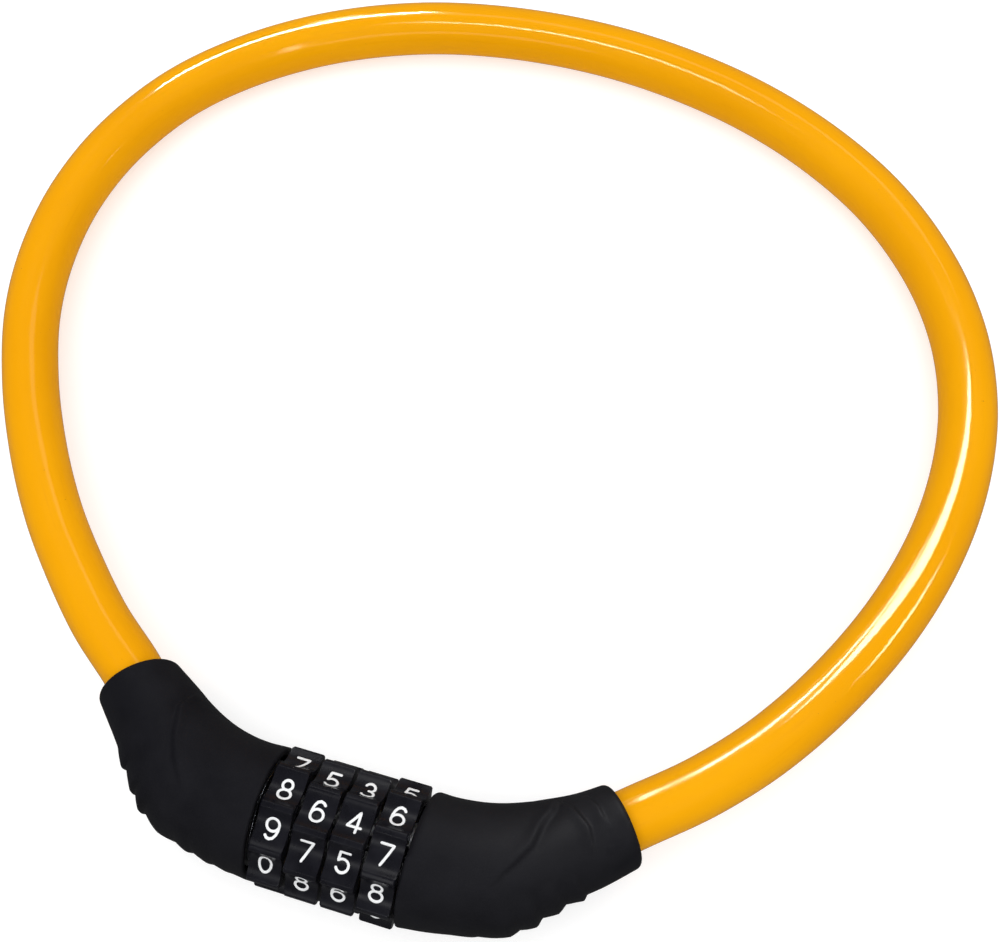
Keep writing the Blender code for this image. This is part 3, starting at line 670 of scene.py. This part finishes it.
COVER_SIDES = 150
COVER_STEP = 0.3
COVER_FIRST_STOPS = (0, 0.25, 0.5, 0.8, 1.1, 1.5, 2)  # from the wheels
COVER_EVEN_END = 1.6  # the even steps stop this far before the mouth
COVER_LAST_STOPS = (1.2, 0.9, 0.6, 0.35, 0.15, 0.03, 0)  # before the mouth
MOUTH_LIP = 1.3  # the mouth's rounding
BODY_EDGES = (0.35, 0.35)  # rounding of the end at the wheels, towards the loop and away from it
PLUG_EDGES = (1.5, 0.6)
HOLE_GAP = 0.12  # between the mouth's hole and the jacket
HOLE_CHAMFER = 0.5
CAVITY_STOPS = (27, 22, 17, 12, 7.5, 4, 0.5, 0)
CAVITY_FLARE = 0.4  # the cavity is this much wider where it opens to the wheels

# Round a section, places run from 1 towards the loop to -1 away from it. The ribs start at this place and
# reach their full height over this stretch.
RIBS_FROM = -0.5
RIBS_FADE = 0.42

# Grip ribs down the covers' outer side: where each starts, its crest, where it ends, and its height.
BODY_RIBS = [
    (3, 4, 6, 0.15),
    (6, 7, 9.5, 0.35),
    (9.5, 10.5, 12.5, 0.5),
    (12.5, 15.5, 19, 0.6),
    (19, 19.5, 22, 1.05),
    (22, 22.5, 26, 0.95),
    (26, 26.5, 29.5, 0.8),
]
PLUG_RIBS = [
    (8.5, 11.5, 12.5, 0.15),
    (12.5, 17, 18.5, 0.6),
    (18.5, 21, 22, 0.95),
    (22, 24.5, 26, 0.9),
    (26, 29, 30, 0.8),
]

# Moulded creases over the top: points at (distance, degrees from the loop's side), and the height and
# width of the lip along them. The lip falls away softly towards the wheels, and steeply towards the mouth
# into a groove.
BODY_CREASES = [
    ([(31, 12), (29, 50), (23, 73), (16, 93), (12, 105)], 0.52, 1.5),
]
PLUG_CREASES = [
    ([(33, 12), (30, 45), (24, 77), (18, 94), (14, 110)], 0.55, 1.7),
    ([(31.5, 20), (33.5, 50), (34.5, 80), (33.5, 115)], 0.32, 1.3),
    ([(36.5, 30), (37.5, 60), (37.5, 90)], 0.26, 1.1),
]

CREASE_REACH = 4  # how far a crease changes the surface, in its own widths
CREASE_FADE_IN = 0.14  # shares of a crease's length over which it rises and fades
CREASE_FADE_OUT = 0.3
LIP_STEEP_SIDE = 0.28  # widths of the lip's steep side and of the groove, as shares of the lip's width
GROOVE_WIDTH = 1.2
GROOVE_DEPTH = 0.9  # as a share of the lip's height


def on_curve(points, place):
    """The height at a place of the smooth curve through an outline's points."""
    last = len(points) - 1
    span = 0
    while span < last - 1 and place > points[span + 1][0]:
        span += 1
    (start, low), (end, high) = points[span], points[span + 1]
    before, after = points[max(span - 1, 0)], points[min(span + 2, last)]
    width = end - start
    rise_here = (high - before[1]) / (end - before[0]) * width
    rise_next = (after[1] - low) / (after[0] - start) * width
    t = min(max((place - start) / width, 0), 1)
    bend = (2 * t**3 - 3 * t**2 + 1) * low + (3 * t**2 - 2 * t**3) * high
    return bend + (t**3 - 2 * t**2 + t) * rise_here + (t**3 - t**2) * rise_next


def ribbed(ribs, distance):
    """The ribs' height here: each rises steadily to its crest and falls to its foot."""
    for before, crest, after, height in ribs:
        if before <= distance <= after:
            if distance < crest:
                share = (distance - before) / (crest - before)
            else:
                share = (after - distance) / (after - crest)
            return height * (1.2 * share - 0.2 * share**3)
    return 0.0


def crease_height(creases, distance, angle, radius):
    """How far the creases raise or sink the surface at a place on a cover."""
    total = 0.0
    here = Vector((distance, radians(angle) * radius))
    for line, height, width in creases:
        points = [Vector((s, radians(a) * radius)) for s, a in line]
        lengths = [(b - a).length for a, b in zip(points, points[1:])]
        whole, before, best = sum(lengths), 0.0, None
        for a, b, length in zip(points, points[1:], lengths):
            share = min(max((here - a).dot(b - a) / length**2, 0), 1)
            nearest = a.lerp(b, share)
            gap = (here - nearest).length
            if best is None or gap < best[0]:
                side = (b - a).cross(here - nearest)
                best = (gap, 1 if side > 0 else -1, (before + share * length) / whole)
            before += length
        gap, side, along = best
        if gap > CREASE_REACH * width:
            continue
        fade = eased(along / CREASE_FADE_IN) * eased((1 - along) / CREASE_FADE_OUT)
        if side > 0:
            shape = exp(-((gap / width) ** 2))
        else:
            lip = exp(-((gap / (LIP_STEEP_SIDE * width)) ** 2))
            groove = GROOVE_DEPTH * (1 - lip) * exp(-((gap / (GROOVE_WIDTH * width)) ** 2))
            shape = lip - groove
        total += height * fade * shape
    return total


def cover_rings(elbow, inner, outer, ribs, creases, edges):
    """Rings of a cover's whole skin: outside from wheels to mouth, then the mouth's hole, then the cavity."""
    sides = COVER_SIDES
    inner_edge, outer_edge = edges
    lip = MOUTH_LIP
    length = elbow.length
    stops = list(COVER_FIRST_STOPS)
    while stops[-1] < length - COVER_EVEN_END:
        stops.append(stops[-1] + COVER_STEP)
    stops += [length - before for before in COVER_LAST_STOPS]
    rings = []
    for stop in stops:
        centre, inward = elbow.at(stop)
        lean = elbow.lean(stop)
        half_height = elbow.height(stop)
        rib = ribbed(ribs, stop)
        ring = []
        for i in range(sides):
            angle = 2 * pi * i / sides
            across, up = cos(angle), sin(angle)
            reach = on_curve(inner if across > 0 else outer, stop)
            raised = rib * eased((RIBS_FROM - across) / RIBS_FADE)
            if up > 0:
                raised += crease_height(creases, stop, angle * 180 / pi, reach)
            edge = inner_edge if across > 0 else outer_edge
            cut = 0.0
            if stop < edge:
                cut = edge - sqrt(edge**2 - (edge - stop) ** 2)
            if stop > length - lip:
                past = stop - (length - lip)
                cut = max(cut, lip - sqrt(max(lip**2 - past**2, 0)))
            out, high = across * (reach + raised - cut), up * (half_height + raised - cut)
            ring.append(cover_point(centre + lean * high, inward, out, high))
        rings.append(ring)
    hole = JACKET_R + HOLE_GAP
    grip = length - MOUTH_GRIP
    for stop, radius in ((length, hole + HOLE_CHAMFER), (length - HOLE_CHAMFER, hole), (grip, hole)):
        rings.append(round_ring(elbow, stop, radius, radius, sides))
    for stop in (grip, *CAVITY_STOPS):
        wall = COVER_WALL - (CAVITY_FLARE if stop == 0 else 0)
        half_height = elbow.height(stop) - wall
        rings.append(round_ring(elbow, stop, half_height / COVER_TALLNESS, half_height, sides))
    return rings


def round_ring(elbow, stop, half_width, half_height, sides):
    """A plain oval ring across an elbow."""
    centre, inward = elbow.at(stop)
    lean = elbow.lean(stop)
    ring = []
    for i in range(sides):
        angle = 2 * pi * i / sides
        high = half_height * sin(angle)
        ring.append(cover_point(centre + lean * high, inward, half_width * cos(angle), high))
    return ring


def cover_point(centre, inward, across, up):
    """A point of a cover. The lowest part is flat where the lock stands on it."""
    point = centre + inward * across * MM + Vector((0, 0, up)) * MM
    point.z = max(point.z, 0.0)
    return point


def add_covers():
    body = skin(
        "body_cover_rubber",
        cover_rings(BODY, BODY_INNER, BODY_OUTER, BODY_RIBS, BODY_CREASES, BODY_EDGES),
        RUBBER,
        sharp=radians(60),
    )
    plug = skin(
        "plug_cover_rubber",
        cover_rings(PLUG, PLUG_INNER, PLUG_OUTER, PLUG_RIBS, PLUG_CREASES, PLUG_EDGES),
        RUBBER,
        sharp=radians(60),
    )
    for obj, node, holder in ((body, "body_cover", "lock_body"), (plug, "plug_cover", "plug")):
        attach(obj, holder)
        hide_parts(node)


# ---- number wheels ----


def wheel_frame(turn_degrees):
    """(up, outward) directions at a place round a wheel, this far past the top away from the loop."""
    turn = radians(turn_degrees)
    return Vector((0, cos(turn), sin(turn))), Vector((0, -sin(turn), cos(turn)))


FLUTE_STEP = 2 * pi / POSITIONS
FLUTE_EDGE = FLUTE_STEP / 2 - RIDGE_WIDTH / 2 / RIDGE_R
FLUTE_CHORD = RIDGE_R * sin(FLUTE_EDGE)
FLUTE_HOLLOW = RIDGE_R * cos(FLUTE_EDGE) - FLUTE_R
FLUTE_ROUND = (FLUTE_CHORD**2 + FLUTE_HOLLOW**2) / (2 * FLUTE_HOLLOW)
FLUTE_CENTRE = FLUTE_R + FLUTE_ROUND
RIDGE_SOFTNESS = 0.16
KEYWAY_CORNER = 0.012  # the angle that a keyway's side takes up, in radians
WHEEL_END_CHAMFER = 0.18
WHEEL_BORE_CHAMFER = 0.3
RIM_STOPS = (0, 0.07, 0.15, 0.25, 0.4, 0.7, 1.2, 2.0)  # from a rim towards the wheel's middle


def soft_least(a, b, width):
    """The lower of two values, with a soft corner where they meet."""
    return (a + b - sqrt((a - b) ** 2 + width**2)) / 2


def flute_surface(angle, limit):
    """A wheel's radius at an angle from a flute's middle, under a limit set by its rim's chamfer."""
    angle = (angle + FLUTE_STEP / 2) % FLUTE_STEP - FLUTE_STEP / 2
    hollow = FLUTE_CENTRE * cos(angle) - sqrt(FLUTE_ROUND**2 - (FLUTE_CENTRE * sin(angle)) ** 2)
    return soft_least(hollow, limit, RIDGE_SOFTNESS)


def keyed_bore(angle):
    """A wheel's bore radius at an angle: round, with a keyway under each flute."""
    angle = (angle + FLUTE_STEP / 2) % FLUTE_STEP - FLUTE_STEP / 2
    half_key = KEYWAY_WIDTH / 2 / WHEEL_BORE_R
    return WHEEL_BORE_R + KEYWAY_DEPTH * eased((half_key - abs(angle)) / KEYWAY_CORNER + 0.5)


def wheel_angles():
    """Angles round a wheel in radians, closer together at ridges and at keyways."""
    key = KEYWAY_WIDTH / 2 / WHEEL_BORE_R
    key_corner = [key - 0.02, key - KEYWAY_CORNER / 2, key + KEYWAY_CORNER / 2, key + 0.03]
    ridge_side = [0.16, 0.2, 0.235, 0.25, 0.262, 0.272, 0.282, 0.292, 0.303]
    half = [0, 0.04] + key_corner + ridge_side
    one = [-angle for angle in half[:0:-1]] + half + [FLUTE_STEP / 2]
    return [angle + FLUTE_STEP * position for position in range(POSITIONS) for angle in one]


def add_wheel(index):
    """A fluted wheel with a soft chamfer at both rims and a keyed bore."""
    half = WHEEL_WIDTH / 2
    middle = (index - (WHEELS - 1) / 2) * WHEEL_PITCH
    angles = wheel_angles()
    sections = [(-half + stop, stop) for stop in (*RIM_STOPS, half)]
    sections += [(half - stop, stop) for stop in RIM_STOPS[::-1]]
    rings = []
    for along, depth in sections:
        limit = RIDGE_R - max(RIM_CHAMFER - depth, 0)
        rings.append([(flute_surface(a, limit), along, a) for a in angles])
    rim = [flute_surface(a, RIDGE_R - RIM_CHAMFER) - WHEEL_END_CHAMFER for a in angles]
    bore = [keyed_bore(a) for a in angles]
    opening = [radius + WHEEL_BORE_CHAMFER for radius in bore]
    inside = half - WHEEL_BORE_CHAMFER
    one_end = [(rim, half), (opening, half), (bore, inside)]
    other_end = [(radii, -along) for radii, along in one_end[::-1]]
    for radii, along in one_end + other_end:
        rings.append([(radius, along, a) for radius, a in zip(radii, angles)])
    placed = []
    for ring in rings:
        row = []
        for radius, along, angle in ring:
            _, outward = wheel_frame(WHEEL_TURNS[index] + angle * 180 / pi)
            row.append(WHEELS_MIDDLE + Vector((middle + along, 0, 0)) * MM + outward * radius * MM)
        placed.append(row)
    wheel = skin(f"wheel_{index + 1}_fluted", placed, WHEEL_GLOSS, sharp=radians(38))
    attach(wheel, f"wheel_{index + 1}")
    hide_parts(f"dial_{index + 1}")


# ---- numerals ----

NUMERAL_STROKE = 0.52
FIRST_NUMERALS = (9, 7, 5, 7)  # in the flute that each wheel's turn is measured to
STROKE_POINT_GAP = 0.12
# A stroke's section: the share of its half width, and the height over the flute's floor in mm.
STROKE_SECTION = ((-1, -0.1), (-1, 0.02), (-0.82, 0.05), (0.82, 0.05), (1, 0.02), (1, -0.1))
STROKE_END_ANGLES = (80, 60, 40, 20)


def bow(x, y, width, height, start, end, count=22):
    """Points on an ellipse's arc, from one angle to another in degrees."""
    points = []
    for i in range(count):
        angle = radians(start + (end - start) * i / (count - 1))
        points.append((x + width * cos(angle), y + height * sin(angle)))
    return points


SIX_STEM = [(0.98, 1.42), (0.62, 1.78), (0.05, 1.92), (-0.55, 1.68)]
SIX_STEM += [(-0.98, 1.05), (-1.2, 0.2), (-1.24, -0.65)]

# Each numeral's strokes: points in mm from its middle, and whether the stroke is closed.
NUMERALS = {
    0: [(bow(0, 0, 1.2, 1.92, 90, 450, 40), True)],
    1: [([(-0.75, 1.15), (0.15, 1.92), (0.15, -1.92)], False)],
    2: [(bow(0, 0.85, 1.12, 1.07, 165, -38) + [(-1.2, -1.92), (1.25, -1.92)], False)],
    3: [
        (bow(0, 0.98, 0.98, 0.94, 155, -90), False),
        (bow(0, -0.9, 1.18, 1.02, 90, -158), False),
    ],
    4: [([(0.62, -1.92), (0.62, 1.92), (-1.3, -0.85), (1.4, -0.85)], False)],
    5: [
        ([(1.1, 1.92), (-0.78, 1.92), (-1.0, 0.12)] + bow(-0.02, -0.68, 1.22, 1.24, 128, -152, 26), False),
    ],
    6: [(SIX_STEM, False), (bow(0, -0.72, 1.24, 1.2, 180, 540, 34), True)],
    7: [([(-1.22, 1.92), (1.24, 1.92), (-0.42, -1.92)], False)],
    8: [(bow(0, 1.0, 0.98, 0.92, 90, 450, 30), True), (bow(0, -0.9, 1.24, 1.02, 90, 450, 34), True)],
}
NUMERALS[9] = [([(-x, -y) for x, y in line], loop) for line, loop in NUMERALS[6]]


def dense(line, loop):
    """More points along a stroke's line, so that it can follow the flute's hollow."""
    if loop:
        line = line[:-1] + [line[0]]
    points = [Vector(line[0])]
    for a, b in zip(line, line[1:]):
        a, b = Vector(a), Vector(b)
        steps = max(1, round((b - a).length / STROKE_POINT_GAP))
        points += [a.lerp(b, (i + 1) / steps) for i in range(steps)]
    return points[:-1] if loop else points


def stroke_rings(line, loop):
    """Cross-sections of a painted stroke on the flat: (across, up, height) points."""
    points = dense(line, loop)
    count = len(points)
    half = NUMERAL_STROKE / 2
    rings = []
    for i, point in enumerate(points):
        before = points[(i - 1) % count] if loop or i else point
        after = points[(i + 1) % count] if loop or i < count - 1 else point
        forward = (after - before).normalized()
        rings.append((point, forward, half))
    if not loop:
        first, last = rings[0], rings[-1]
        head, foot = [], []
        for angle in STROKE_END_ANGLES:
            out, narrow = half * sin(radians(angle)), half * cos(radians(angle))
            head.append((first[0] - first[1] * out, first[1], narrow))
            foot.append((last[0] + last[1] * out, last[1], narrow))
        rings = head + rings + foot[::-1]
    placed = []
    for point, forward, width in rings:
        aside = Vector((-forward.y, forward.x))
        placed.append([(*(point + aside * width * x), height) for x, height in STROKE_SECTION])
    return placed


def add_numerals(index):
    """The ten numerals of a wheel, laid in its flutes and rising away from the loop."""
    middle = (index - (WHEELS - 1) / 2) * WHEEL_PITCH
    points, faces = [], []
    for position in range(POSITIONS):
        up, outward = wheel_frame(WHEEL_TURNS[index] + 360 / POSITIONS * position)
        for line, loop in NUMERALS[(FIRST_NUMERALS[index] + position) % 10]:
            rings = stroke_rings(line, loop)
            start, count = len(points), len(rings[0])
            for ring in rings:
                for across, rise, height in ring:
                    floor = FLUTE_CENTRE - sqrt(FLUTE_ROUND**2 - rise**2)
                    place = Vector((middle + across, 0, 0)) + up * rise + outward * (floor + height)
                    points.append(WHEELS_MIDDLE + place * MM)
            for row in range(len(rings) if loop else len(rings) - 1):
                low, high = start + row * count, start + (row + 1) % len(rings) * count
                for i in range(count):
                    j = (i + 1) % count
                    faces.append((low + i, low + j, high + j, high + i))
            if not loop:
                end = start + len(rings) * count
                faces.append(tuple(range(start, start + count)))
                faces.append(tuple(range(end - count, end)))
    mesh = bpy.data.meshes.new(f"numerals_{index + 1}")
    mesh.from_pydata(points, [], faces)
    outwards(mesh)
    mesh.shade_smooth()
    mesh.set_sharp_from_angle(angle=radians(40))
    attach(piece_from(mesh.name, mesh, NUMERAL_PAINT), f"wheel_{index + 1}")


# ---- carried-over CAD nodes ----

WELD_GAP = 0.000002
BROKEN_EDGE = 0.00007
EDGE_ANGLE = radians(32)  # edges sharper than this are broken

NODE_FINISHES = {
    CORE_PLASTIC: ("body_core", "plug_core"),
    ZINC: ("barrel", "reset_collar"),
    BRASS: tuple(f"clutch_ring_{i + 1}" for i in range(WHEELS)),
    SPRING_STEEL: ("dial_spring", "retaining_ring") + tuple(f"detent_spring_{i + 1}" for i in range(WHEELS)),
    STEEL: (
        "barrel_cross_pin",
        "lock_pin_cross_pin",
        "dial_washer",
        "plug_washer",
        "locking_pin",
        "body_ferrule",
        "body_ferrule_pin",
        "plug_ferrule",
        "plug_ferrule_pin",
    )
    + tuple(f"detent_ball_{i + 1}" for i in range(WHEELS)),
}


def finish_node(obj, finish):
    """Gives a CAD node its material, small broken edges and smooth round sides."""
    for slot in obj.material_slots:
        slot.link = "OBJECT"
        slot.material = finish
    obj.data.shade_smooth()
    weld = obj.modifiers.new("weld", "WELD")
    weld.merge_threshold = WELD_GAP
    bevel = obj.modifiers.new("broken_edges", "BEVEL")
    bevel.width = BROKEN_EDGE
    bevel.segments = 2
    bevel.limit_method = "ANGLE"
    bevel.angle_limit = EDGE_ANGLE
    normals = obj.modifiers.new("even_shading", "WEIGHTED_NORMAL")
    normals.keep_sharp = False


def finish_nodes():
    for finish, names in NODE_FINISHES.items():
        for name in names:
            finish_node(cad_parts[name], finish)


# ---- the whole scene ----

add_camera()
add_studio()
add_cable()
add_covers()
for wheel in range(WHEELS):
    add_wheel(wheel)
    add_numerals(wheel)
finish_nodes()
